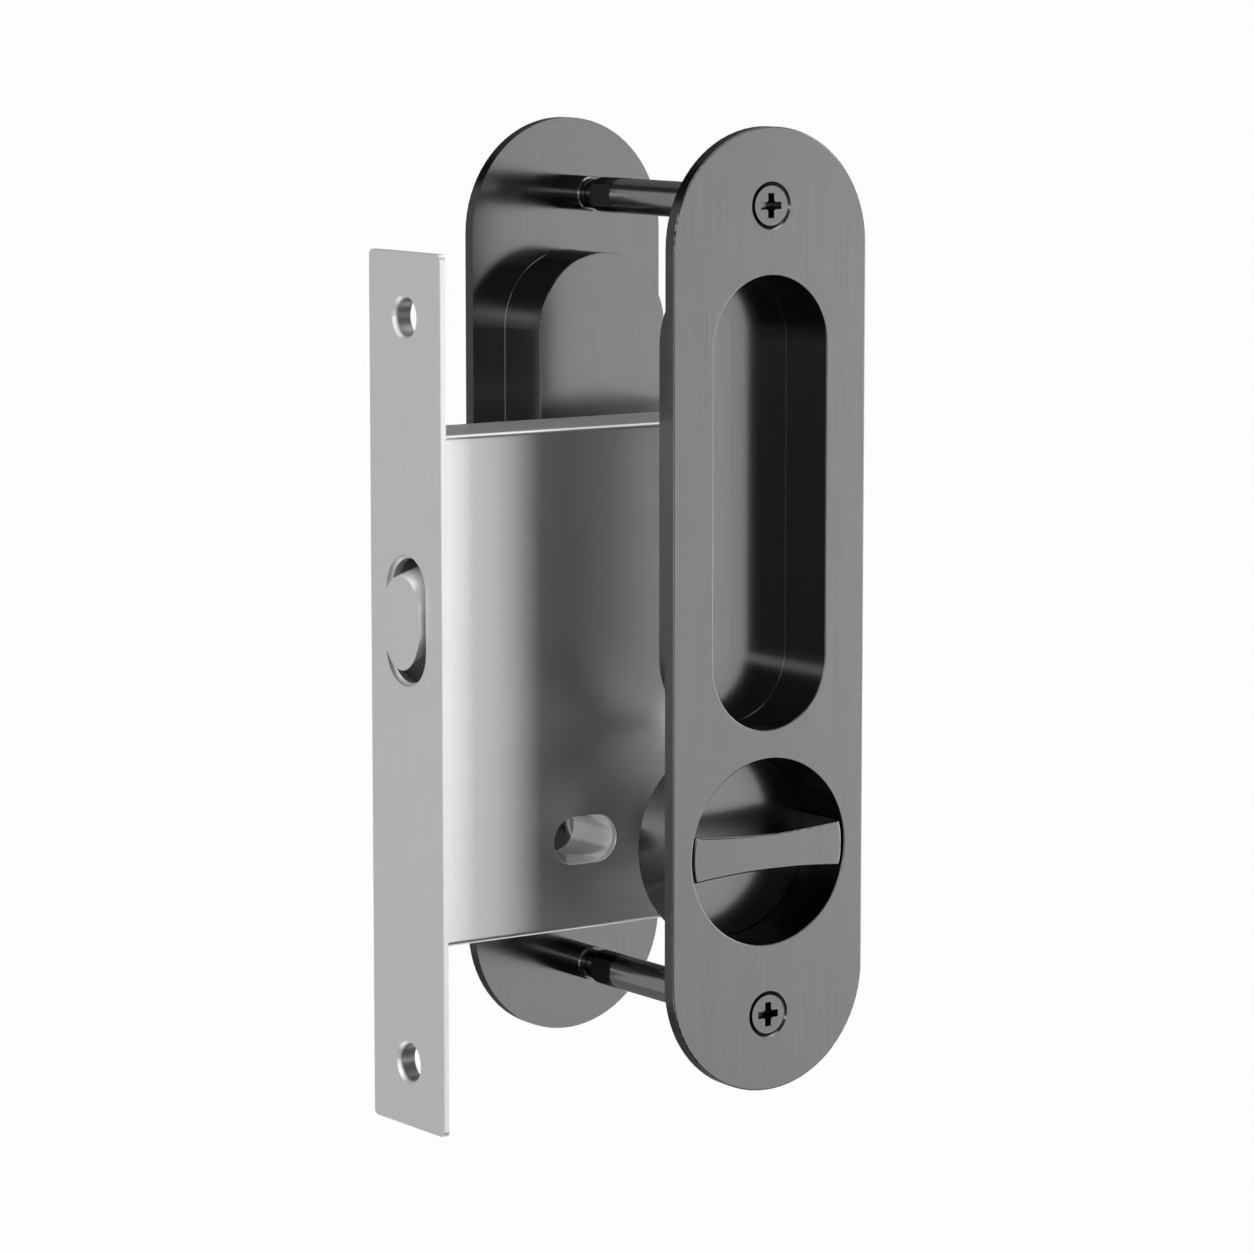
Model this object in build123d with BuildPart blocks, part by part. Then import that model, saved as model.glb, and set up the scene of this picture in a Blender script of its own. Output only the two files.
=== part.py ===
from build123d import *
import math
import os

os.makedirs("parts", exist_ok=True)

# Privacy lock set for a sliding door, with an oval flush pull on each side of the door.
# The origin is on the forend's back face, midway between its two screw holes.
# +X runs into the door, -Y is the room side, +Z is up. All sizes are in millimetres.

# Clearances and fits
running_fit = 0.08
pin_fit = 0.03
moving_gap = 0.3
edge_break = 0.25

# Forend, the plate on the door's edge
forend_length = 149.2
forend_width = 22.2
forend_thickness = 1.0
forend_corner_r = 1.0
forend_edge_break = 0.12
forend_hole_spacing = 127.2
forend_hole_d = 6.2
forend_csk_d = 7.6
forend_collar = 2.2
forend_collar_wall = 0.8
bolt_opening_height = 22.4
bolt_opening_z = 12.4
bolt_side_gap = 0.7

# Axis of the thumb turn, at its backset from the forend's outer face
backset = 52.8
turn_z = -27.9
spindle_side = 6.0

# Lock case, which reaches above, below and behind the turn's axis
case_rise = 72.1
case_drop = 14.7
case_tail = 20.3
case_thickness = 16.0
case_wall = 1.2
case_edge_r = 0.9
case_opening_step = 0.6
slot_length = 12.9
slot_width = 8.2
slot_wall = 0.8
slot_stop = 3.0
slot_rim_r = 0.15
slot_clearance = 1.5
slot_x = 30.1
slot_z = -27.0

# Oval plates, one on each side of the door: a cup, a land, a cup, and a screw past each cup
door_gap = 58.3
plate_width = 40.0
plate_thickness = 2.5
plate_edge_r = 0.18
plate_end = 13.2
cup_depth = 11.4
cup_land = 4.9
cup_floor = 2.3
cup_wall = 1.5
cup_back_r = 0.12
cup_corner_r = 0.1
pull_cup_width = 23.6
pull_cup_height = 77.2
turn_cup_r = 16.1
upper_screw_land = 11.7
lower_screw_land = 12.1

# Countersunk machine screws and the through posts
screw_csk_r = 4.05
screw_land = 0.7
screw_hole_r = 2.2
screw_shank_r = 1.65
screw_length = 14.0
screw_drop = 0.05
recess_width = 4.2
recess_arm = 1.25
recess_corner_r = 0.4
recess_depth = 2.3
recess_taper = 9
sleeve_r = 3.1
sleeve_chamfer = 0.5
flats_across = 4.8
flats_length = 6.7
stud_collar_r = 2.6
stud_collar_length = 2.9
stud_groove = 0.4
stud_engagement = 6.0
boss_length = 8.0

# Thumb turn and emergency release, each on a dish that fills its cup's floor, and their rings
turn_rim_gap = 0.45
turn_face_drop = 0.1
dish_thickness = 1.0
dish_gap = 0.2
dish_rim_gap = 0.15
turn_end_height = 7.9
turn_waist_height = 6.2
shank_r = 5.0
shank_tail = 3.2
spindle_grip = 9.0
washer_r = 8.0
washer_thickness = 0.8
circlip_r = 7.0
circlip_thickness = 0.8
circlip_groove = 0.5
circlip_opening = 5.0
release_r = 6.5
release_height = 3.0
release_slot_width = 1.6
release_slot_depth = 1.4

# Hook bolt, which swings on a pin below the bolt opening
hook_pivot_x = 10.5
hook_pivot_drop = 24.5
hook_width = 10.9
web_high_y = 0.8
hook_nose_height = 16.0
hook_nose_drop = 0.3
hook_proud = 1.0
hook_nose_overrun = 2.0
hook_back_angle = 22.0
hook_swing = 40.0
hook_web = 3.8
hook_web_lap = 1.9
hook_web_start = 10.0
hook_web_stop = 21.0
hook_shoulder = 34.5
hook_shoulder_r = 19.3
hook_heel = 40.0
hook_heel_r = 12.3
hook_boss_r = 5.5
hook_pin_r = 2.5
drive_pin_r = 2.0
drive_radius = 17.6
drive_rest_angle = 28.0
drive_eye_r = 3.4

# Follower and the sliding plate that it drives
turn_swing = 90.0
journal_r = 5.3
flange_r = 8.6
flange_flat = 8.4
follower_pin_r = 1.5
follower_eye_r = 3.0
slide_thickness = 2.5
slide_pin_r = 2.0
slide_pin_spacing = 10.0
slide_pin_x = 35.5
slide_pin_rise = 6.4
slide_collar_r = 3.2
slide_prong = 2.6
slide_slip = 0.55
slide_band_below = 6.4
slide_band_above = 6.4
slide_clip_r = 3.6
slide_clip_opening = 2.0
slide_clip_thickness = 0.8
slide_clip_groove = 0.4

# Detent spring and the case's screws
spring_thickness = 0.5
spring_crown = 12.0
spring_spread = 24.0
spring_foot = 5.0
spring_bend_r = 1.0
pillar_r = 3.0
pillar_inset = 6.0
cover_thread_r = 1.25
cover_screw_head_r = 2.7
cover_screw_head = 1.6
cover_screw_length = 8.0
cover_slot_width = 0.8
cover_slot_depth = 0.7
cover_slot_angle = 30

# Faces and places worked out from the sizes above
turn_x = backset - forend_thickness
plate_inner_y = door_gap / 2
plate_outer_y = plate_inner_y + plate_thickness
cup_floor_y = plate_outer_y - cup_depth
cup_back_y = cup_floor_y - cup_floor
dish_back_y = cup_floor_y - dish_thickness
turn_floor_y = dish_back_y - dish_gap
pull_cup_z = turn_z + turn_cup_r + cup_land + pull_cup_height / 2
post_zs = (turn_z - turn_cup_r - lower_screw_land, pull_cup_z + pull_cup_height / 2 + upper_screw_land)
plate_z = (post_zs[0] + post_zs[1]) / 2
plate_height = post_zs[1] - post_zs[0] + 2 * plate_end
case_face_y = case_thickness / 2
case_room_y = case_face_y - case_wall
case_right_x = turn_x + case_tail
case_low_z = turn_z - case_drop
case_high_z = turn_z + case_rise
case_middle_x = case_right_x / 2
case_middle_z = (case_low_z + case_high_z) / 2
case_height = case_high_z - case_low_z
bolt_opening_width = hook_width + 2 * bolt_side_gap
web_low_y = web_high_y - hook_web
slide_low_y = web_high_y + moving_gap
slide_high_y = slide_low_y + slide_thickness
hook_nose_z = bolt_opening_z - hook_nose_drop
hook_pivot_z = hook_nose_z - hook_pivot_drop
slide_pin_z = hook_pivot_z + slide_pin_rise
slide_band_low = slide_pin_z - slide_band_below
slide_band_high = slide_pin_z + slide_band_above
drive_locked_angle = drive_rest_angle - hook_swing


def sine(angle):
    return math.sin(math.radians(angle))


def cosine(angle):
    return math.cos(math.radians(angle))


def around_pivot(radius, angle):
    """Point at a radius from the hook's pivot, at an angle from straight up towards the door."""
    return (hook_pivot_x + radius * sine(angle), hook_pivot_z + radius * cosine(angle))


# The slide's travel swings the hook, and the follower's pin radius gives the same travel.
slide_travel = drive_radius * (sine(drive_rest_angle) - sine(drive_locked_angle))
follower_pin_radius = slide_travel / (2 * sine(turn_swing / 2))
drive_pin_x, drive_pin_z = around_pivot(drive_radius, drive_rest_angle)
follower_pin_x = turn_x + follower_pin_radius * sine(turn_swing / 2)
follower_pin_z = turn_z + follower_pin_radius * cosine(turn_swing / 2)


def upright(y, x=0.0, z=0.0):
    """Plane that faces the room at the given Y; its own x is X and its own y is Z."""
    return Plane(origin=(x, y, z), x_dir=(1, 0, 0), z_dir=(0, -1, 0))


def finish(piece, name):
    """Name a finished piece and write its solid."""
    piece.part.label = name
    export_step(piece.part, f"parts/{name}.step")


def side_plane(side, y, x, z):
    """Upright plane on the room side (-1) or the far side (+1), facing away from the door."""
    return Plane(origin=(x, side * y, z), x_dir=(-side, 0, 0), z_dir=(0, side, 0))


def upright_faces(piece, y):
    """Flat faces that look along Y, the ones nearest the given Y first."""
    return piece.faces().filter_by(Axis.Y).sort_by(lambda found: abs(found.center().Y - y))


# Oval plates: each is one pressed and machined piece with a long pull cup and a round cup.
def pull_plate(side, name, screwed):
    face = side_plane(side, plate_outer_y, turn_x, plate_z)
    seat = side_plane(side, plate_inner_y, turn_x, plate_z)
    pull_offset = pull_cup_z - plate_z
    turn_offset = turn_z - plate_z
    with BuildPart() as plate:
        with BuildSketch(seat):
            SlotOverall(plate_height, plate_width, rotation=90)
        extrude(amount=plate_thickness)
        with BuildSketch(seat):
            with Locations((0, pull_offset)):
                SlotOverall(pull_cup_height + 2 * cup_wall, pull_cup_width + 2 * cup_wall, rotation=90)
            with Locations((0, turn_offset)):
                Circle(turn_cup_r + cup_wall)
        extrude(amount=cup_back_y - plate_inner_y)
        backs = plate.faces().sort_by(Axis.Y, reverse=side > 0)[-1].edges()
        backs += plate.faces().sort_by(Axis.Y, reverse=side > 0)[-2].edges()
        fillet(backs, radius=cup_back_r)
        seat_face = upright_faces(plate, side * plate_inner_y)[0]
        fillet([edge for wire in seat_face.inner_wires() for edge in wire.edges()], radius=cup_corner_r)
        with BuildSketch(face):
            with Locations((0, pull_offset)):
                SlotOverall(pull_cup_height, pull_cup_width, rotation=90)
            with Locations((0, turn_offset)):
                Circle(turn_cup_r)
        extrude(amount=-cup_depth, mode=Mode.SUBTRACT)
        cup_floors = upright_faces(plate, side * cup_floor_y)[0:2]
        fillet(cup_floors.sort_by(Axis.Z)[-1].edges(), radius=cup_corner_r)
        with BuildSketch(side_plane(side, cup_floor_y, turn_x, turn_z)):
            Circle(turn_cup_r)
        extrude(amount=turn_floor_y - cup_floor_y, mode=Mode.SUBTRACT)
        outer_face = plate.faces().sort_by(Axis.Y, reverse=side < 0)[-1]
        fillet(outer_face.edges(), radius=plate_edge_r)
        with BuildSketch(side_plane(side, turn_floor_y, turn_x, turn_z)):
            Circle(shank_r + running_fit)
        extrude(amount=cup_back_y - turn_floor_y, mode=Mode.SUBTRACT)
        if screwed:
            with Locations(face):
                with Locations(*[(0, z - plate_z) for z in post_zs]):
                    CounterSinkHole(screw_hole_r, screw_csk_r, counter_sink_angle=90)
    finish(plate, name)


pull_plate(-1, "front_plate", screwed=True)
pull_plate(+1, "rear_plate", screwed=False)


# Front screws: flush countersunk heads with a cross recess, one into each sleeve.
head_top = -plate_outer_y + screw_drop
head_r = screw_csk_r - screw_land
cone_depth = screw_csk_r - screw_shank_r
with BuildPart() as front_screws:
    for z in post_zs:
        with BuildSketch(Plane(origin=(turn_x, -plate_outer_y, z), x_dir=(1, 0, 0), z_dir=(0, 0, 1))):
            with BuildLine():
                Polyline(
                    (0, screw_drop),
                    (head_r, screw_drop),
                    (head_r, screw_land - pin_fit),
                    (screw_shank_r, cone_depth - pin_fit),
                    (screw_shank_r, screw_length),
                    (0, screw_length),
                    close=True,
                )
            make_face()
        revolve(axis=Axis((turn_x, 0, z), (0, 1, 0)))
        with BuildSketch(upright(head_top, turn_x, z)) as recess:
            Rectangle(recess_width, recess_arm)
            Rectangle(recess_arm, recess_width)
            inner_corners = recess.vertices().sort_by_distance((0, 0))[0:4]
            fillet(inner_corners, radius=recess_corner_r)
        extrude(amount=-recess_depth, taper=recess_taper, mode=Mode.SUBTRACT)
finish(front_screws, "front_screws")


# Through posts: a long threaded sleeve from the front plate, a stud with a collar, a rear boss.
boss_end_y = plate_inner_y - boss_length
sleeve_end_y = boss_end_y - stud_collar_length
bore_r = screw_shank_r + pin_fit


def post_sleeve(z, name):
    length = sleeve_end_y + plate_inner_y
    with BuildPart() as sleeve:
        with BuildSketch(upright(sleeve_end_y, turn_x, z)):
            Circle(sleeve_r)
        extrude(amount=length)
        chamfer(sleeve.faces().sort_by(Axis.Y)[-1].edges(), length=sleeve_chamfer)
        with BuildSketch(upright(sleeve_end_y, turn_x, z)):
            Circle(2 * sleeve_r)
            Rectangle(flats_across, 4 * sleeve_r, mode=Mode.SUBTRACT)
        extrude(amount=flats_length, mode=Mode.SUBTRACT)
        with BuildSketch(upright(sleeve_end_y, turn_x, z)):
            Circle(bore_r)
        extrude(amount=length, mode=Mode.SUBTRACT)
    finish(sleeve, name)


post_sleeve(post_zs[1], "upper_sleeve")
post_sleeve(post_zs[0], "lower_sleeve")

with BuildPart() as joining_studs:
    for z in post_zs:
        middle_y = sleeve_end_y + stud_collar_length / 2
        with BuildSketch(upright(boss_end_y + stud_engagement, turn_x, z)):
            Circle(screw_shank_r)
        extrude(amount=2 * stud_engagement + stud_collar_length)
        with BuildSketch(upright(boss_end_y, turn_x, z)):
            Circle(stud_collar_r)
        extrude(amount=stud_collar_length)
        with BuildSketch(upright(middle_y + stud_groove / 2, turn_x, z)):
            Circle(stud_collar_r)
            Circle(stud_collar_r - stud_groove, mode=Mode.SUBTRACT)
        extrude(amount=stud_groove, mode=Mode.SUBTRACT)
finish(joining_studs, "joining_studs")

with BuildPart() as rear_bosses:
    for z in post_zs:
        with BuildSketch(upright(plate_inner_y, turn_x, z)):
            Circle(sleeve_r)
        extrude(amount=boss_length)
        with BuildSketch(upright(boss_end_y, turn_x, z)):
            Circle(bore_r)
        extrude(amount=-(stud_engagement + moving_gap), mode=Mode.SUBTRACT)
    rims = rear_bosses.edges().filter_by(GeomType.CIRCLE).group_by(Axis.Y)[0].group_by(SortBy.RADIUS)[-1]
    chamfer(rims, length=edge_break)
finish(rear_bosses, "rear_bosses")


# Thumb turn: a waisted bar across the round cup, on a dish and a shank through the cup's floor.
shank_end_y = cup_back_y - shank_tail
clip_low_y = cup_back_y - washer_thickness - moving_gap / 2
bar_r = turn_cup_r - turn_rim_gap


def cup_shank(side):
    """Dish on the cup's floor and the shank behind it, with the groove of the retaining ring."""
    with BuildPart() as shank:
        with BuildSketch(side_plane(side, shank_end_y, turn_x, turn_z)):
            Circle(shank_r)
        extrude(amount=dish_back_y - shank_end_y)
        with BuildSketch(side_plane(side, dish_back_y, turn_x, turn_z)):
            Circle(turn_cup_r - dish_rim_gap)
        extrude(amount=dish_thickness)
        with BuildSketch(side_plane(side, clip_low_y - circlip_thickness - running_fit, turn_x, turn_z)):
            Circle(shank_r)
            Circle(shank_r - circlip_groove, mode=Mode.SUBTRACT)
        extrude(amount=circlip_thickness + running_fit, mode=Mode.SUBTRACT)
    return shank.part


socket_side = spindle_side + 2 * running_fit
turn_shank = cup_shank(-1)
release_shank = cup_shank(+1)

with BuildPart() as thumb_turn:
    with BuildSketch(side_plane(-1, cup_floor_y, turn_x, turn_z)):
        Circle(bar_r)
        with BuildLine():
            upper = ThreePointArc(
                (-bar_r, turn_end_height / 2), (0, turn_waist_height / 2), (bar_r, turn_end_height / 2)
            )
            Line(upper @ 1, (bar_r, -turn_end_height / 2))
            lower = ThreePointArc(
                (bar_r, -turn_end_height / 2), (0, -turn_waist_height / 2), (-bar_r, -turn_end_height / 2)
            )
            Line(lower @ 1, upper @ 0)
        make_face(mode=Mode.INTERSECT)
    extrude(amount=cup_depth - turn_face_drop)
    fillet(thumb_turn.faces().sort_by(Axis.Y)[0].edges(), radius=edge_break)
    add(turn_shank)
    with BuildSketch(side_plane(-1, shank_end_y, turn_x, turn_z)):
        Rectangle(socket_side, socket_side)
    extrude(amount=spindle_grip, mode=Mode.SUBTRACT)
finish(thumb_turn, "thumb_turn")


# Emergency release: a low round button on its dish in the far cup, with a slot for a coin.
with BuildPart() as release_turn:
    with BuildSketch(side_plane(+1, cup_floor_y, turn_x, turn_z)):
        Circle(release_r)
    extrude(amount=release_height)
    fillet(release_turn.faces().sort_by(Axis.Y)[-1].edges(), radius=edge_break)
    with BuildSketch(side_plane(+1, cup_floor_y + release_height, turn_x, turn_z)):
        Rectangle(2 * release_r, release_slot_width)
    extrude(amount=-release_slot_depth, mode=Mode.SUBTRACT)
    add(release_shank)
    with BuildSketch(side_plane(+1, shank_end_y, turn_x, turn_z)):
        Rectangle(socket_side, socket_side)
    extrude(amount=spindle_grip, mode=Mode.SUBTRACT)
finish(release_turn, "release_turn")


# Washers and split retaining rings behind both cups
def shank_washer(side, name):
    with BuildPart() as washer:
        with BuildSketch(side_plane(side, cup_back_y, turn_x, turn_z)):
            Circle(washer_r)
            Circle(shank_r + running_fit, mode=Mode.SUBTRACT)
        extrude(amount=-washer_thickness)
    finish(washer, name)


def shank_circlip(side, name):
    ring_inner_r = shank_r - circlip_groove + pin_fit
    with BuildPart() as clip:
        with BuildSketch(side_plane(side, clip_low_y, turn_x, turn_z)):
            Circle(circlip_r)
            Circle(ring_inner_r, mode=Mode.SUBTRACT)
            with Locations((0, -circlip_r)):
                Rectangle(circlip_opening, 2 * circlip_r, mode=Mode.SUBTRACT)
        extrude(amount=-circlip_thickness)
    finish(clip, name)


shank_washer(-1, "turn_washer")
shank_circlip(-1, "turn_circlip")
shank_washer(+1, "release_washer")
shank_circlip(+1, "release_circlip")

# Square spindle from the thumb turn, through the follower, into the release
with BuildPart() as turn_spindle:
    spindle_end_y = shank_end_y + spindle_grip - moving_gap
    with BuildSketch(upright(spindle_end_y, turn_x, turn_z)):
        Rectangle(spindle_side, spindle_side)
    extrude(amount=2 * spindle_end_y)
finish(turn_spindle, "turn_spindle")


# Forend: thin satin plate with the bolt's opening and two screw holes, each drawn into a collar.
edge_plane = Plane(origin=(-forend_thickness, 0, 0), x_dir=(0, -1, 0), z_dir=(-1, 0, 0))
with BuildPart() as forend:
    with BuildSketch(edge_plane):
        RectangleRounded(forend_width, forend_length, forend_corner_r)
        with Locations((0, bolt_opening_z)):
            SlotOverall(bolt_opening_height, bolt_opening_width, rotation=90, mode=Mode.SUBTRACT)
    extrude(amount=-forend_thickness)
    chamfer(forend.faces().sort_by(Axis.X)[0].outer_wire().edges(), length=forend_edge_break)
    with BuildSketch(edge_plane.offset(-forend_thickness)):
        with Locations((0, -forend_hole_spacing / 2), (0, forend_hole_spacing / 2)):
            Circle(forend_hole_d / 2 + forend_collar_wall)
    extrude(amount=-forend_collar)
    with Locations(edge_plane):
        with Locations((0, -forend_hole_spacing / 2), (0, forend_hole_spacing / 2)):
            CounterSinkHole(forend_hole_d / 2, forend_csk_d / 2, counter_sink_angle=90)
finish(forend, "forend")


# Lock case: a folded pan whose smooth face is on the room side, closed by a flat cover.
slot_outer_length = slot_length + 2 * slot_wall
slot_outer_width = slot_width + 2 * slot_wall
with BuildPart() as case_body:
    with BuildSketch(upright(case_room_y, case_middle_x, case_middle_z)):
        Rectangle(case_right_x, case_height)
    extrude(amount=case_room_y + case_face_y)
    room_face = case_body.faces().sort_by(Axis.Y)[0]
    fillet(room_face.edges().sort_by(Axis.X)[1:], radius=case_edge_r)
    with BuildSketch(upright(case_room_y, case_middle_x, case_middle_z)):
        Rectangle(case_right_x - 2 * case_wall, case_height - 2 * case_wall)
    extrude(amount=2 * case_room_y, mode=Mode.SUBTRACT)
    with BuildSketch(edge_plane.offset(-forend_thickness)):
        with Locations((0, bolt_opening_z)):
            SlotOverall(bolt_opening_height - 2 * case_opening_step, bolt_opening_width, rotation=90)
    extrude(amount=-case_wall, mode=Mode.SUBTRACT)
    with BuildSketch(upright(-case_room_y, slot_x, slot_z)):
        SlotOverall(slot_length, slot_width)
    extrude(amount=case_wall, mode=Mode.SUBTRACT)
    fillet(case_body.faces().sort_by(Axis.Y)[0].inner_wires()[0].edges(), radius=slot_rim_r)
    with BuildSketch(upright(-case_room_y, turn_x, turn_z)):
        Circle(journal_r + running_fit)
    extrude(amount=case_wall, mode=Mode.SUBTRACT)
finish(case_body, "case_body")

pillar_xs = (case_wall + pillar_inset, case_right_x - case_wall - pillar_inset)
pillar_zs = (case_low_z + case_wall + pillar_inset, case_high_z - case_wall - pillar_inset)
pillar_places = [(x, z) for x in pillar_xs for z in pillar_zs]
slide_pin_places = [(slide_pin_x, slide_pin_z), (slide_pin_x + slide_pin_spacing, slide_pin_z)]
pivot_spigot_r = hook_pin_r - moving_gap
slide_spigot_r = slide_pin_r - moving_gap
with BuildPart() as case_cover:
    with BuildSketch(upright(case_face_y, case_middle_x, case_middle_z)):
        Rectangle(case_right_x, case_height)
    extrude(amount=case_wall)
    with BuildSketch(upright(case_face_y)):
        with Locations((slot_x, slot_z)):
            SlotOverall(slot_outer_length + 2 * slot_clearance, slot_outer_width + 2 * slot_clearance)
        with Locations((turn_x, turn_z)):
            Circle(journal_r + running_fit)
        with Locations(*pillar_places):
            Circle(cover_thread_r + moving_gap)
        with Locations(*slide_pin_places):
            Circle(slide_spigot_r + pin_fit)
        with Locations((hook_pivot_x, hook_pivot_z)):
            Circle(pivot_spigot_r + pin_fit)
    extrude(amount=case_wall, mode=Mode.SUBTRACT)
finish(case_cover, "case_cover")

# Tube that lines the case's through slot, staked to the inside of the pan and short of the cover
with BuildPart() as slot_bush:
    with BuildSketch(upright(case_face_y - slot_stop, slot_x, slot_z)):
        SlotOverall(slot_outer_length, slot_outer_width)
        SlotOverall(slot_length, slot_width, mode=Mode.SUBTRACT)
    extrude(amount=case_face_y - slot_stop + case_room_y)
finish(slot_bush, "slot_bush")

# Four threaded pillars in the corners of the pan, and the cover's slotted screws
with BuildPart() as cover_pillars:
    with BuildSketch(upright(case_room_y)):
        with Locations(*pillar_places):
            Circle(pillar_r)
    extrude(amount=2 * case_room_y)
    with BuildSketch(upright(case_room_y)):
        with Locations(*pillar_places):
            Circle(cover_thread_r + pin_fit)
    extrude(amount=cover_screw_length, mode=Mode.SUBTRACT)
finish(cover_pillars, "cover_pillars")

with BuildPart() as cover_screws:
    with BuildSketch(upright(case_face_y + cover_screw_head)):
        with Locations(*pillar_places):
            Circle(cover_screw_head_r)
    extrude(amount=cover_screw_head)
    chamfer(cover_screws.edges().group_by(Axis.Y)[-1], length=edge_break)
    with BuildSketch(upright(case_face_y)):
        with Locations(*pillar_places):
            Circle(cover_thread_r)
    extrude(amount=cover_screw_length)
    with BuildSketch(upright(case_face_y + cover_screw_head)):
        with Locations(*pillar_places):
            Rectangle(2 * cover_screw_head_r, cover_slot_width, rotation=cover_slot_angle)
    extrude(amount=cover_slot_depth, mode=Mode.SUBTRACT)
finish(cover_screws, "cover_screws")


# Hook bolt: a thick curved head on a thin web; it swings out through the forend and down.
nose_x = -forend_thickness - hook_proud
nose_reach = hook_pivot_x - nose_x
hook_outer_r = math.hypot(nose_reach, hook_nose_z + hook_nose_height / 2 - hook_pivot_z)
hook_inner_r = math.hypot(nose_reach, hook_nose_z - hook_nose_height / 2 - hook_pivot_z)
hook_middle_r = (hook_outer_r + hook_inner_r) / 2
nose_angle = math.degrees(math.atan2(nose_reach, hook_nose_z - hook_nose_height / 2 - hook_pivot_z))
hook_axis = Axis((hook_pivot_x, 0, hook_pivot_z), (0, -1, 0))
hook_back = Plane(
    origin=(hook_pivot_x, 0, hook_pivot_z),
    x_dir=(sine(hook_back_angle), 0, cosine(hook_back_angle)),
    z_dir=(-cosine(hook_back_angle), 0, sine(hook_back_angle)),
)
with BuildPart() as hook_bolt:
    with BuildSketch(hook_back):
        with Locations((hook_middle_r, 0)):
            SlotOverall(hook_outer_r - hook_inner_r, hook_width)
    revolve(axis=hook_axis, revolution_arc=hook_back_angle + nose_angle + hook_nose_overrun)
    split(bisect_by=Plane(origin=(nose_x, 0, 0), z_dir=(1, 0, 0)), keep=Keep.TOP)
    web_tip_r = hook_inner_r + hook_web_lap
    with BuildSketch(upright(web_high_y)):
        with BuildLine():
            Polyline(
                (hook_pivot_x, hook_pivot_z),
                around_pivot(web_tip_r, hook_web_start),
                around_pivot(web_tip_r, hook_web_stop),
                around_pivot(hook_shoulder_r, hook_shoulder),
                around_pivot(hook_heel_r, hook_heel),
                close=True,
            )
        make_face()
        with Locations((drive_pin_x, drive_pin_z)):
            Circle(drive_eye_r)
    extrude(amount=hook_web)
    with BuildSketch(upright(case_room_y - moving_gap, hook_pivot_x, hook_pivot_z)):
        Circle(hook_boss_r)
    extrude(amount=2 * (case_room_y - moving_gap))
    with BuildSketch(upright(case_room_y, hook_pivot_x, hook_pivot_z)):
        Circle(hook_pin_r + running_fit)
    extrude(amount=2 * case_room_y, mode=Mode.SUBTRACT)
    with BuildSketch(upright(web_high_y, drive_pin_x, drive_pin_z)):
        Circle(drive_pin_r + pin_fit)
    extrude(amount=hook_web, mode=Mode.SUBTRACT)
finish(hook_bolt, "hook_bolt")

# Pin on which the hook swings, with a spigot in the cover
with BuildPart() as hook_pivot_pin:
    with BuildSketch(upright(case_room_y, hook_pivot_x, hook_pivot_z)):
        Circle(hook_pin_r)
    extrude(amount=2 * case_room_y)
    with BuildSketch(upright(case_face_y, hook_pivot_x, hook_pivot_z)):
        Circle(pivot_spigot_r)
    extrude(amount=case_wall)
finish(hook_pivot_pin, "hook_pivot_pin")

# Pin in the hook's web that stands in the fork of the slide
with BuildPart() as hook_drive_pin:
    with BuildSketch(upright(slide_high_y + moving_gap, drive_pin_x, drive_pin_z)):
        Circle(drive_pin_r)
    extrude(amount=slide_high_y + moving_gap - web_low_y)
finish(hook_drive_pin, "hook_drive_pin")


# Follower: the hub that the spindle turns, with two journals, a flange and a pin eye.
with BuildPart() as follower:
    with BuildSketch(upright(web_high_y, turn_x, turn_z)):
        Circle(flange_r)
        with Locations((-flange_flat - flange_r, 0), (0, -flange_flat - flange_r)):
            Rectangle(2 * flange_r, 2 * flange_r, mode=Mode.SUBTRACT)
        with Locations((follower_pin_x - turn_x, follower_pin_z - turn_z)):
            Circle(follower_eye_r)
    extrude(amount=hook_web)
    with BuildSketch(upright(case_face_y, turn_x, turn_z)):
        Circle(journal_r)
    extrude(amount=case_thickness)
    with BuildSketch(upright(case_face_y, turn_x, turn_z)):
        Rectangle(socket_side, socket_side)
    extrude(amount=case_thickness, mode=Mode.SUBTRACT)
    with BuildSketch(upright(web_high_y, follower_pin_x, follower_pin_z)):
        Circle(follower_pin_r + pin_fit)
    extrude(amount=hook_web, mode=Mode.SUBTRACT)
finish(follower, "follower")

with BuildPart() as follower_pin:
    with BuildSketch(upright(slide_high_y + moving_gap, follower_pin_x, follower_pin_z)):
        Circle(follower_pin_r)
    extrude(amount=slide_high_y + moving_gap - web_low_y)
finish(follower_pin, "follower_pin")


# Driver slide: a flat plate with a fork for each pin and one long guide slot.
hook_fork_half = drive_pin_r + slide_slip
follower_fork_half = follower_pin_r + slide_slip
hook_fork_low = drive_pin_z - drive_pin_r - slide_slip
hook_fork_high = hook_pivot_z + drive_radius + moving_gap
follower_fork_high = turn_z + follower_pin_radius + follower_pin_r + slide_slip
follower_fork_low = turn_z + journal_r + moving_gap
slide_left_x = drive_pin_x - hook_fork_half - slide_prong
slide_right_x = follower_pin_x + follower_fork_half + slide_prong
neck_left_x = follower_pin_x - follower_fork_half - slide_prong
bar_low_z = hook_pivot_z + hook_boss_r + 2 * moving_gap
bar_step_x = hook_pivot_x + hook_boss_r + slide_travel + 2 * moving_gap
guide_length = slide_pin_spacing + slide_travel + 2 * (slide_pin_r + moving_gap)
guide_middle_x = slide_pin_x + (slide_pin_spacing + slide_travel) / 2
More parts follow.
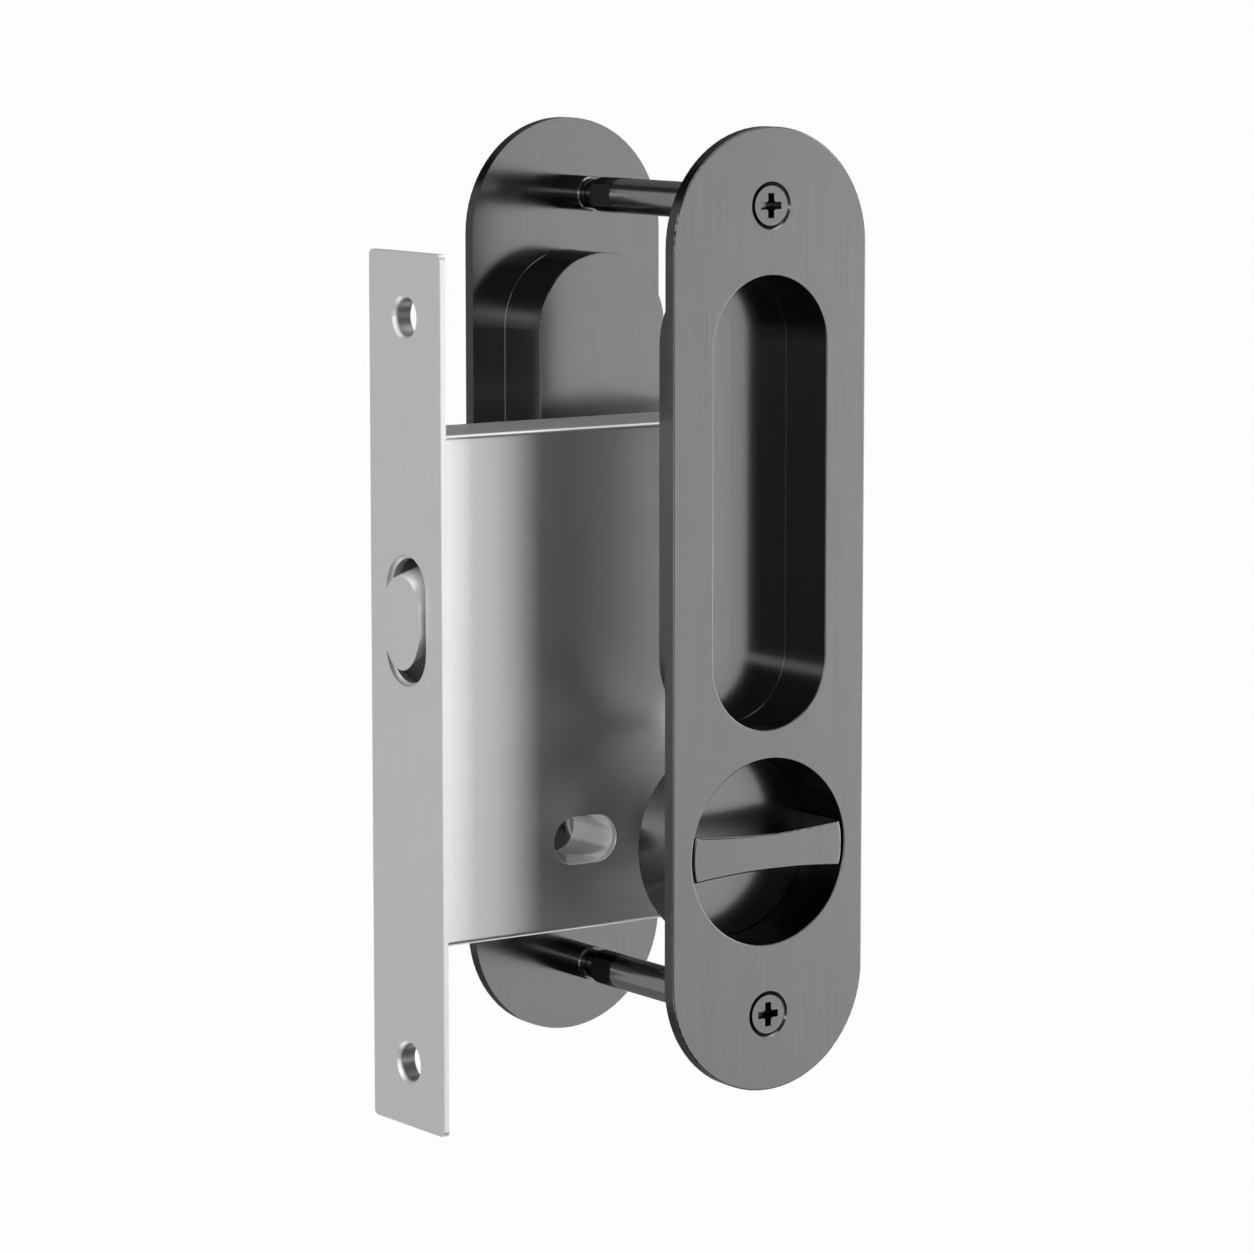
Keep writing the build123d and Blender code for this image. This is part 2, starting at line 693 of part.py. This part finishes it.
with BuildPart() as driver_slide:
    with BuildSketch(upright(slide_high_y)):
        with BuildLine():
            Polyline(
                (slide_left_x, bar_low_z),
                (bar_step_x, bar_low_z),
                (bar_step_x, slide_band_low),
                (neck_left_x, slide_band_low),
                (neck_left_x, follower_fork_low),
                (slide_right_x, follower_fork_low),
                (slide_right_x, slide_band_high),
                (drive_pin_x + hook_fork_half + slide_prong, slide_band_high),
                (drive_pin_x + hook_fork_half + slide_prong, hook_fork_high),
                (slide_left_x, hook_fork_high),
                close=True,
            )
        make_face()
        with Locations((drive_pin_x, (hook_fork_low + hook_fork_high) / 2)):
            Rectangle(2 * hook_fork_half, hook_fork_high - hook_fork_low, mode=Mode.SUBTRACT)
        with Locations((follower_pin_x, (follower_fork_low + follower_fork_high) / 2)):
            Rectangle(2 * follower_fork_half, follower_fork_high - follower_fork_low, mode=Mode.SUBTRACT)
        with Locations((guide_middle_x, slide_pin_z)):
            SlotOverall(guide_length, 2 * (slide_pin_r + running_fit), mode=Mode.SUBTRACT)
    extrude(amount=slide_thickness)
finish(driver_slide, "driver_slide")

# Two shouldered pins that carry the slide, each with a groove for its ring
clip_seat_y = slide_high_y + running_fit
with BuildPart() as slide_pins:
    for x, z in slide_pin_places:
        with BuildSketch(upright(case_room_y, x, z)):
            Circle(slide_pin_r)
        extrude(amount=2 * case_room_y)
        with BuildSketch(upright(slide_low_y - running_fit, x, z)):
            Circle(slide_collar_r)
        extrude(amount=slide_low_y - running_fit + case_room_y)
        with BuildSketch(upright(case_face_y, x, z)):
            Circle(slide_spigot_r)
        extrude(amount=case_wall)
        with BuildSketch(upright(clip_seat_y + slide_clip_thickness + running_fit, x, z)):
            Circle(slide_pin_r)
            Circle(slide_pin_r - slide_clip_groove, mode=Mode.SUBTRACT)
        extrude(amount=slide_clip_thickness + running_fit, mode=Mode.SUBTRACT)
finish(slide_pins, "slide_pins")

with BuildPart() as slide_clips:
    for x, z in slide_pin_places:
        with BuildSketch(upright(clip_seat_y + slide_clip_thickness, x, z)):
            Circle(slide_clip_r)
            Circle(slide_pin_r - slide_clip_groove + pin_fit, mode=Mode.SUBTRACT)
            with Locations((0, slide_clip_r)):
                Rectangle(slide_clip_opening, 2 * slide_clip_r, mode=Mode.SUBTRACT)
        extrude(amount=slide_clip_thickness)
finish(slide_clips, "slide_clips")


# Detent spring: a bowed leaf on the floor of the case, under the follower's flat.
crown_z = turn_z - flange_flat - moving_gap - spring_thickness / 2
foot_z = case_low_z + case_wall + spring_thickness / 2
with BuildPart() as detent_spring:
    with BuildSketch(upright(web_high_y)):
        with BuildLine():
            FilletPolyline(
                (turn_x - spring_spread / 2 - spring_foot, foot_z),
                (turn_x - spring_spread / 2, foot_z),
                (turn_x - spring_crown / 2, crown_z),
                (turn_x + spring_crown / 2, crown_z),
                (turn_x + spring_spread / 2, foot_z),
                radius=spring_bend_r,
            )
        trace(line_width=spring_thickness)
    extrude(amount=hook_web)
finish(detent_spring, "detent_spring")
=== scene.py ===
import math

import bpy
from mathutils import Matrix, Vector

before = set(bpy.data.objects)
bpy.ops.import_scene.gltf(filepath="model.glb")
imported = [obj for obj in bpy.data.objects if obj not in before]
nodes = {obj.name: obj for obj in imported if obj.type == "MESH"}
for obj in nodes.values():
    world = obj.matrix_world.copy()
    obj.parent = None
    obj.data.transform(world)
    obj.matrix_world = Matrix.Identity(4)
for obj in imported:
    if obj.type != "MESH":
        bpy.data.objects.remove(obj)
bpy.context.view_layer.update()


# Hook bolt: a hooked bar of satin steel that swings out through the forend. It is pressed, then
# ground with a fine belt, and its rounded nose shows in the forend's opening.
def ground_metal(name, colour, roughness, grain, streak, relief, tone, metallic=1.0):
    """Metal with fine lines, as a belt or brush leaves them.

    grain is the lines' density per metre along X, Y and Z, streak and tone are how much they
    change the roughness and the colour, and relief is their depth in metres.
    """
    metal = bpy.data.materials.new(name)
    metal.use_nodes = True
    tree = metal.node_tree
    shader = tree.nodes["Principled BSDF"]
    shader.inputs["Metallic"].default_value = metallic
    place = tree.nodes.new("ShaderNodeTexCoord")
    stretch = tree.nodes.new("ShaderNodeMapping")
    stretch.inputs["Scale"].default_value = grain
    tree.links.new(place.outputs["Object"], stretch.inputs["Vector"])
    lines = tree.nodes.new("ShaderNodeTexNoise")
    lines.inputs["Scale"].default_value = 1.0
    lines.inputs["Detail"].default_value = 3.0
    lines.inputs["Roughness"].default_value = 0.6
    tree.links.new(stretch.outputs["Vector"], lines.inputs["Vector"])
    faint, strong = 0.25, 0.75
    shade = tree.nodes.new("ShaderNodeValToRGB")
    dark, light = shade.color_ramp.elements
    dark.position = faint
    dark.color = [c * (1 - tone) for c in colour] + [1]
    light.position = strong
    light.color = [c * (1 + tone) for c in colour] + [1]
    tree.links.new(lines.outputs["Fac"], shade.inputs["Fac"])
    tree.links.new(shade.outputs["Color"], shader.inputs["Base Color"])
    gloss = tree.nodes.new("ShaderNodeMapRange")
    gloss.inputs["From Min"].default_value = faint
    gloss.inputs["From Max"].default_value = strong
    gloss.inputs["To Min"].default_value = roughness - streak
    gloss.inputs["To Max"].default_value = roughness + streak
    tree.links.new(lines.outputs["Fac"], gloss.inputs["Value"])
    tree.links.new(gloss.outputs["Result"], shader.inputs["Roughness"])
    bump = tree.nodes.new("ShaderNodeBump")
    bump.inputs["Strength"].default_value = 1.0
    bump.inputs["Distance"].default_value = relief
    tree.links.new(lines.outputs["Fac"], bump.inputs["Height"])
    tree.links.new(bump.outputs["Normal"], shader.inputs["Normal"])
    return metal


def dress(metal, *names):
    """Give CAD nodes their finish."""
    for name in names:
        nodes[name].material_slots[0].material = metal


satin = {
    "colour": (0.94, 0.94, 0.94), "roughness": 0.40, "grain": (5000, 5000, 120),
    "streak": 0.03, "relief": 5e-8, "tone": 0.03, "metallic": 0.76,
}
dress(ground_metal("satin_steel", **satin), "hook_bolt")


# Forend: a strip of the same satin steel on the door's edge, ground along its length, which two
# wood screws hold. Their holes are drawn into short collars, whose walls are coloured darker as
# painted shade in the holes.
screw_z = 0.0636
# Painted shade: the forend is coloured darker round each screw hole's axis, for the shade in the
# holes and their collars.
hole_shade_r = 0.0033
mask_edge = 0.0001
hole_painted_shade = (0.34, 0.34, 0.34, 1)


def second_colour(metal, mask, colour):
    """Give a ground metal another colour where the mask is 1."""
    tree = metal.node_tree
    mix = tree.nodes.new("ShaderNodeMix")
    mix.data_type = "RGBA"
    tree.links.new(mask, mix.inputs["Factor"])
    tree.links.new(tree.nodes["Color Ramp"].outputs["Color"], mix.inputs["A"])
    mix.inputs["B"].default_value = colour
    tree.links.new(mix.outputs["Result"], tree.nodes["Principled BSDF"].inputs["Base Color"])


forend_steel = ground_metal("forend_steel", **satin)
dress(forend_steel, "forend")
face = forend_steel.node_tree
face_axes = face.nodes.new("ShaderNodeSeparateXYZ")
face.links.new(face.nodes["Texture Coordinate"].outputs["Object"], face_axes.inputs["Vector"])
mirror_z = face.nodes.new("ShaderNodeMath")
mirror_z.operation = "ABSOLUTE"
face.links.new(face_axes.outputs["Z"], mirror_z.inputs[0])
upper_half = face.nodes.new("ShaderNodeCombineXYZ")
face.links.new(face_axes.outputs["Y"], upper_half.inputs["X"])
face.links.new(mirror_z.outputs["Value"], upper_half.inputs["Y"])
from_hole = face.nodes.new("ShaderNodeVectorMath")
from_hole.operation = "DISTANCE"
from_hole.inputs[1].default_value = (0.0, screw_z, 0.0)
face.links.new(upper_half.outputs["Vector"], from_hole.inputs[0])
in_hole = face.nodes.new("ShaderNodeMapRange")
in_hole.inputs["From Min"].default_value = hole_shade_r + mask_edge
in_hole.inputs["From Max"].default_value = hole_shade_r - mask_edge
face.links.new(from_hole.outputs["Value"], in_hole.inputs["Value"])
# Painted shade: the darker colour is mixed in round each screw hole.
second_colour(forend_steel, in_hole.outputs["Result"], hole_painted_shade)


# Lock case: a folded pan and a flat cover of bright steel strip, whose rolling lines run along
# the case's depth. The tube that lines its through slot is drawn, smooth, and staked in the pan.
case_steel = ground_metal(
    "case_steel", (0.97, 0.97, 0.97), roughness=0.36, grain=(100, 5000, 5000),
    streak=0.03, relief=5e-8, tone=0.03, metallic=0.96,
)
dress(case_steel, "case_body", "case_cover")
bush_steel = ground_metal(
    "bush_steel", (0.99, 0.99, 0.99), roughness=0.14, grain=(2000, 2000, 60),
    streak=0.01, relief=2e-9, tone=0.01, metallic=0.55,
)
dress(bush_steel, "slot_bush")


# Pins, pillars and screws of the case, its slide and the square spindle: turned or punched steel
# with bright zinc plating, a little uneven as it comes from the barrel.
zinc = ground_metal(
    "zinc_plate", (0.60, 0.60, 0.58), roughness=0.30, grain=(900, 900, 900),
    streak=0.08, relief=1e-7, tone=0.06,
)
dress(zinc, "cover_pillars", "cover_screws", "slide_pins", "hook_pivot_pin", "hook_drive_pin")
dress(zinc, "follower_pin", "driver_slide", "turn_spindle")


# Follower: the hub that the spindle turns, pressed from powder and sintered, so it is matt and
# slightly grainy all over.
sintered = ground_metal(
    "sintered_steel", (0.28, 0.27, 0.26), roughness=0.55, grain=(3000, 3000, 3000),
    streak=0.10, relief=1e-6, tone=0.15,
)
dress(sintered, "follower")


# Spring and rings: the leaf that holds the follower at each end of its turn, the slide's clips
# and the circlips are spring steel, hardened and blued.
blued = ground_metal(
    "blued_steel", (0.10, 0.11, 0.14), roughness=0.30, grain=(800, 800, 800),
    streak=0.06, relief=1e-7, tone=0.10,
)
dress(blued, "detent_spring", "slide_clips", "turn_circlip", "release_circlip")


# Oval plates, thumb turn and release: brass, brushed upright with a fine wheel and then plated
# dark grey. The front screws, which draw the plates together, are finished to match.
gunmetal = ground_metal(
    "gunmetal", (0.217, 0.217, 0.217), roughness=0.17, grain=(4500, 4500, 60),
    streak=0.015, relief=2e-8, tone=0.065,
)
dress(gunmetal, "front_plate", "rear_plate", "thumb_turn", "release_turn", "front_screws")


# Sleeves of the posts: turned and polished steel tubes, threaded inside, that take the front
# screws. Their light colour is a painted highlight for the bright band they show, and the end
# with the spanner flats is coloured dark, like the studs and bosses, as painted shade on the
# flats.
flats_start_y = 0.01155
# Painted shade: the end with the flats is coloured dark where the flats show dark.
flats_painted_shade = (0.15, 0.15, 0.15, 1)
# Painted highlight: the sleeves' colour is set light to give the bright band along them.
sleeve_steel = ground_metal(
    "sleeve_steel", (0.72, 0.72, 0.72), roughness=0.17, grain=(1500, 1500, 1500),
    streak=0.02, relief=5e-8, tone=0.03,
)
dress(sleeve_steel, "upper_sleeve", "lower_sleeve")
post = sleeve_steel.node_tree
post_axes = post.nodes.new("ShaderNodeSeparateXYZ")
post.links.new(post.nodes["Texture Coordinate"].outputs["Object"], post_axes.inputs["Vector"])
at_flats = post.nodes.new("ShaderNodeMapRange")
at_flats.inputs["From Min"].default_value = flats_start_y - mask_edge
at_flats.inputs["From Max"].default_value = flats_start_y + mask_edge
post.links.new(post_axes.outputs["Y"], at_flats.inputs["Value"])
# Painted shade: the dark colour is mixed in over the flats' end.
second_colour(sleeve_steel, at_flats.outputs["Result"], flats_painted_shade)


# Studs and rear bosses of the posts: turned steel with a glossy black oxide. The bosses are
# fixed on the back of the rear plate, and a stud joins each to its sleeve.
black_steel = ground_metal(
    "black_steel", (0.20, 0.20, 0.20), roughness=0.17, grain=(1500, 1500, 1500),
    streak=0.03, relief=1e-7, tone=0.10,
)
dress(black_steel, "joining_studs", "rear_bosses")


# Washers behind the two round cups: moulded nylon in its natural pale colour, so that turn and
# release run quietly against the cups.
nylon = bpy.data.materials.new("nylon")
nylon.use_nodes = True
moulded = nylon.node_tree.nodes["Principled BSDF"]
moulded.inputs["Base Color"].default_value = (0.70, 0.69, 0.64, 1)
moulded.inputs["Roughness"].default_value = 0.45
dress(nylon, "turn_washer", "release_washer")


# Floor: a wide pale sheet well below the set. The camera and the metal see it as plain white,
# with a trace of the set's shadow left in it.
stage_x = 0.04
floor_z = -0.9
paper_white = (0.93, 0.93, 0.93, 1)
plain_white = (0.99, 0.99, 0.99, 1)
white_share = 0.97


def either(tree, first, second):
    """Return an output that is 1 where either of two ray tests is."""
    both = tree.nodes.new("ShaderNodeMath")
    both.operation = "MAXIMUM"
    tree.links.new(first, both.inputs[0])
    tree.links.new(second, both.inputs[1])
    return both.outputs["Value"]


bpy.ops.object.select_all(action="DESELECT")
bpy.ops.mesh.primitive_plane_add(size=200.0, location=(stage_x, 0.0, floor_z))
floor = bpy.context.object
floor.name = "studio_floor"
paper = bpy.data.materials.new("paper")
paper.use_nodes = True
sheet = paper.node_tree
matt = sheet.nodes["Principled BSDF"]
matt.inputs["Base Color"].default_value = paper_white
matt.inputs["Roughness"].default_value = 0.9
matt.inputs["Specular IOR Level"].default_value = 0.0
white = sheet.nodes.new("ShaderNodeEmission")
white.inputs["Color"].default_value = plain_white
rays = sheet.nodes.new("ShaderNodeLightPath").outputs
seen = either(sheet, rays["Is Camera Ray"], rays["Is Glossy Ray"])
part_white = sheet.nodes.new("ShaderNodeMath")
part_white.operation = "MULTIPLY"
part_white.inputs[1].default_value = white_share
sheet.links.new(seen, part_white.inputs[0])
blend = sheet.nodes.new("ShaderNodeMixShader")
sheet.links.new(part_white.outputs["Value"], blend.inputs["Fac"])
sheet.links.new(matt.outputs["BSDF"], blend.inputs[1])
sheet.links.new(white.outputs["Emission"], blend.inputs[2])
sheet.links.new(blend.outputs["Shader"], sheet.nodes["Material Output"].inputs["Surface"])
floor.data.materials.append(paper)


# Surroundings: an even glow that lights the set, and plain white for the camera, for metal and
# for what is seen through something clear.
glow_strength = 0.75
world = bpy.data.worlds.new("surround")
world.use_nodes = True
bpy.context.scene.world = world
surround = world.node_tree
glow = surround.nodes["Background"]
glow.inputs["Color"].default_value = (1, 1, 1, 1)
glow.inputs["Strength"].default_value = glow_strength
backdrop = surround.nodes.new("ShaderNodeBackground")
backdrop.inputs["Color"].default_value = plain_white
backdrop.inputs["Strength"].default_value = 1.0
rays = surround.nodes.new("ShaderNodeLightPath").outputs
seen = either(surround, rays["Is Camera Ray"], rays["Is Glossy Ray"])
seen = either(surround, seen, rays["Is Transmission Ray"])
choice = surround.nodes.new("ShaderNodeMixShader")
surround.links.new(seen, choice.inputs["Fac"])
surround.links.new(glow.outputs["Background"], choice.inputs[1])
surround.links.new(backdrop.outputs["Background"], choice.inputs[2])
surround.links.new(choice.outputs["Shader"], surround.nodes["World Output"].inputs["Surface"])


# Cards: grey and bright boards that stand round the set out of the picture, as flags and panels
# do at a product table. They show only in the polished metal, and light nothing else.
card_distance = 1.9
card_sides = 120
low_card_z = -0.85


def felt_on(board, name):
    """Cover a board with glowing felt that only reflections see, and return the glow's node."""
    board.name = name
    felt = bpy.data.materials.new(name)
    felt.use_nodes = True
    tree = felt.node_tree
    tree.nodes.remove(tree.nodes["Principled BSDF"])
    light = tree.nodes.new("ShaderNodeEmission")
    tree.links.new(light.outputs["Emission"], tree.nodes["Material Output"].inputs["Surface"])
    board.data.materials.append(felt)
    board.visible_camera = False
    board.visible_diffuse = False
    board.visible_shadow = False
    board.visible_transmission = False
    return light


def card(name, first, last, *tones):
    """Curved card from one angle to another; tones are (height, brightness) from below."""
    low, high = tones[0][0], tones[-1][0]
    bpy.ops.object.select_all(action="DESELECT")
    bpy.ops.mesh.primitive_cylinder_add(
        vertices=card_sides, radius=card_distance, depth=high - low, end_fill_type="NOTHING",
        location=(stage_x, 0.0, (low + high) / 2),
    )
    board = bpy.context.object
    bpy.ops.object.transform_apply(location=True, rotation=True, scale=True)
    bpy.ops.object.mode_set(mode="EDIT")
    bpy.ops.mesh.select_all(action="DESELECT")
    bpy.ops.object.mode_set(mode="OBJECT")
    for side in board.data.polygons:
        angle = math.degrees(math.atan2(side.center.y, side.center.x - stage_x)) % 360
        side.select = (angle - first) % 360 > (last - first) % 360
    bpy.ops.object.mode_set(mode="EDIT")
    bpy.ops.mesh.delete(type="FACE")
    bpy.ops.object.mode_set(mode="OBJECT")
    light = felt_on(board, name)
    tree = light.id_data
    place = tree.nodes.new("ShaderNodeTexCoord")
    axes = tree.nodes.new("ShaderNodeSeparateXYZ")
    tree.links.new(place.outputs["Object"], axes.inputs["Vector"])
    height = tree.nodes.new("ShaderNodeMapRange")
    height.inputs["From Min"].default_value = low
    height.inputs["From Max"].default_value = high
    tree.links.new(axes.outputs["Z"], height.inputs["Value"])
    ramp = tree.nodes.new("ShaderNodeValToRGB")
    stops = ramp.color_ramp.elements
    while len(stops) < len(tones):
        stops.new(0.5)
    for stop, (level, tone) in zip(stops, tones):
        stop.position = (level - low) / (high - low)
        stop.color = (tone, tone, tone, 1)
    tree.links.new(height.outputs["Result"], ramp.inputs["Fac"])
    tree.links.new(ramp.outputs["Color"], light.inputs["Color"])


card(
    "camera_side_card", 205, 268,
    (-1.2, 0.03), (-0.60, 0.04), (-0.34, 0.17), (0.06, 0.19),
    (0.15, 1.8), (0.36, 1.8), (0.46, 0.10), (5.0, 0.05),
)
card("dark_left_card", 165, 205, (-0.45, 0.10), (2.4, 0.04))
card("far_left_card", 95, 165, (-0.85, 0.22), (0.78, 0.22), (0.95, 0.02), (2.4, 0.01))
card("far_right_card", 25, 95, (-0.85, 0.50), (-0.15, 0.50), (0.05, 0.12), (2.4, 0.04))
card("front_left_card", 268, 294, (-0.85, 0.12), (2.4, 0.04), (5.0, 0.04))
card("upper_card", 294, 316.5, (0.22, 0.07), (2.4, 0.04))
card("end_card", 345, 385, (-0.85, 0.50), (2.4, 0.40))
card("right_card", 316.5, 325, (-0.5, 8.0), (0.5, 8.0))


def low_card(name, near, far, tone):
    """Flat card over the floor, between two places along Y."""
    bpy.ops.object.select_all(action="DESELECT")
    bpy.ops.mesh.primitive_plane_add(size=1.0, location=(stage_x, (near + far) / 2, low_card_z))
    board = bpy.context.object
    board.scale = (2 * card_distance, far - near, 1.0)
    bpy.ops.object.transform_apply(location=True, rotation=True, scale=True)
    light = felt_on(board, name)
    light.inputs["Color"].default_value = (tone, tone, tone, 1)


low_card("near_low_card", -card_distance, 0.0, 0.04)
low_card("far_low_card", 0.6, card_distance, 0.12)


# Lamps: two weak soft boxes, beside the forend and overhead, that lift the satin steel a little
# above the even glow.
middle = Vector((0.043, 0.0, 0.008))
lamp_distance = 1.4


def soft_box(name, direction, width, height, power):
    """Area light that faces the set from a direction."""
    lamp = bpy.data.lights.new(name, "AREA")
    lamp.shape = "RECTANGLE"
    lamp.size = width
    lamp.size_y = height
    lamp.energy = power
    box = bpy.data.objects.new(name, lamp)
    bpy.context.scene.collection.objects.link(box)
    aim = Vector(direction).normalized()
    box.location = middle + aim * lamp_distance
    box.rotation_euler = aim.to_track_quat("Z", "Y").to_euler()


soft_box("side_box", (-1.0, -0.05, 0.25), width=0.9, height=1.4, power=8)
soft_box("top_box", (0.1, -0.2, 1.0), width=1.0, height=1.0, power=3)


# Camera: on the room side, to the left of the set and a little above it. A long lens keeps the
# set's lines nearly straight and parallel.
turn_angle = math.radians(-34.99)
rise_angle = math.radians(7.71)
camera_distance = 0.849
target = Vector((0.04299, -0.00206, 0.00821))
towards_camera = Vector((
    math.sin(turn_angle) * math.cos(rise_angle),
    -math.cos(turn_angle) * math.cos(rise_angle),
    math.sin(rise_angle),
))
lens = bpy.data.cameras.new("camera")
lens.lens = 140.6
lens.sensor_width = 36.0
lens.clip_start = 0.01
camera = bpy.data.objects.new("camera", lens)
bpy.context.scene.collection.objects.link(camera)
camera.location = target + towards_camera * camera_distance
camera.rotation_euler = towards_camera.to_track_quat("Z", "Y").to_euler()
bpy.context.scene.camera = camera
bpy.context.scene.view_settings.view_transform = "Standard"
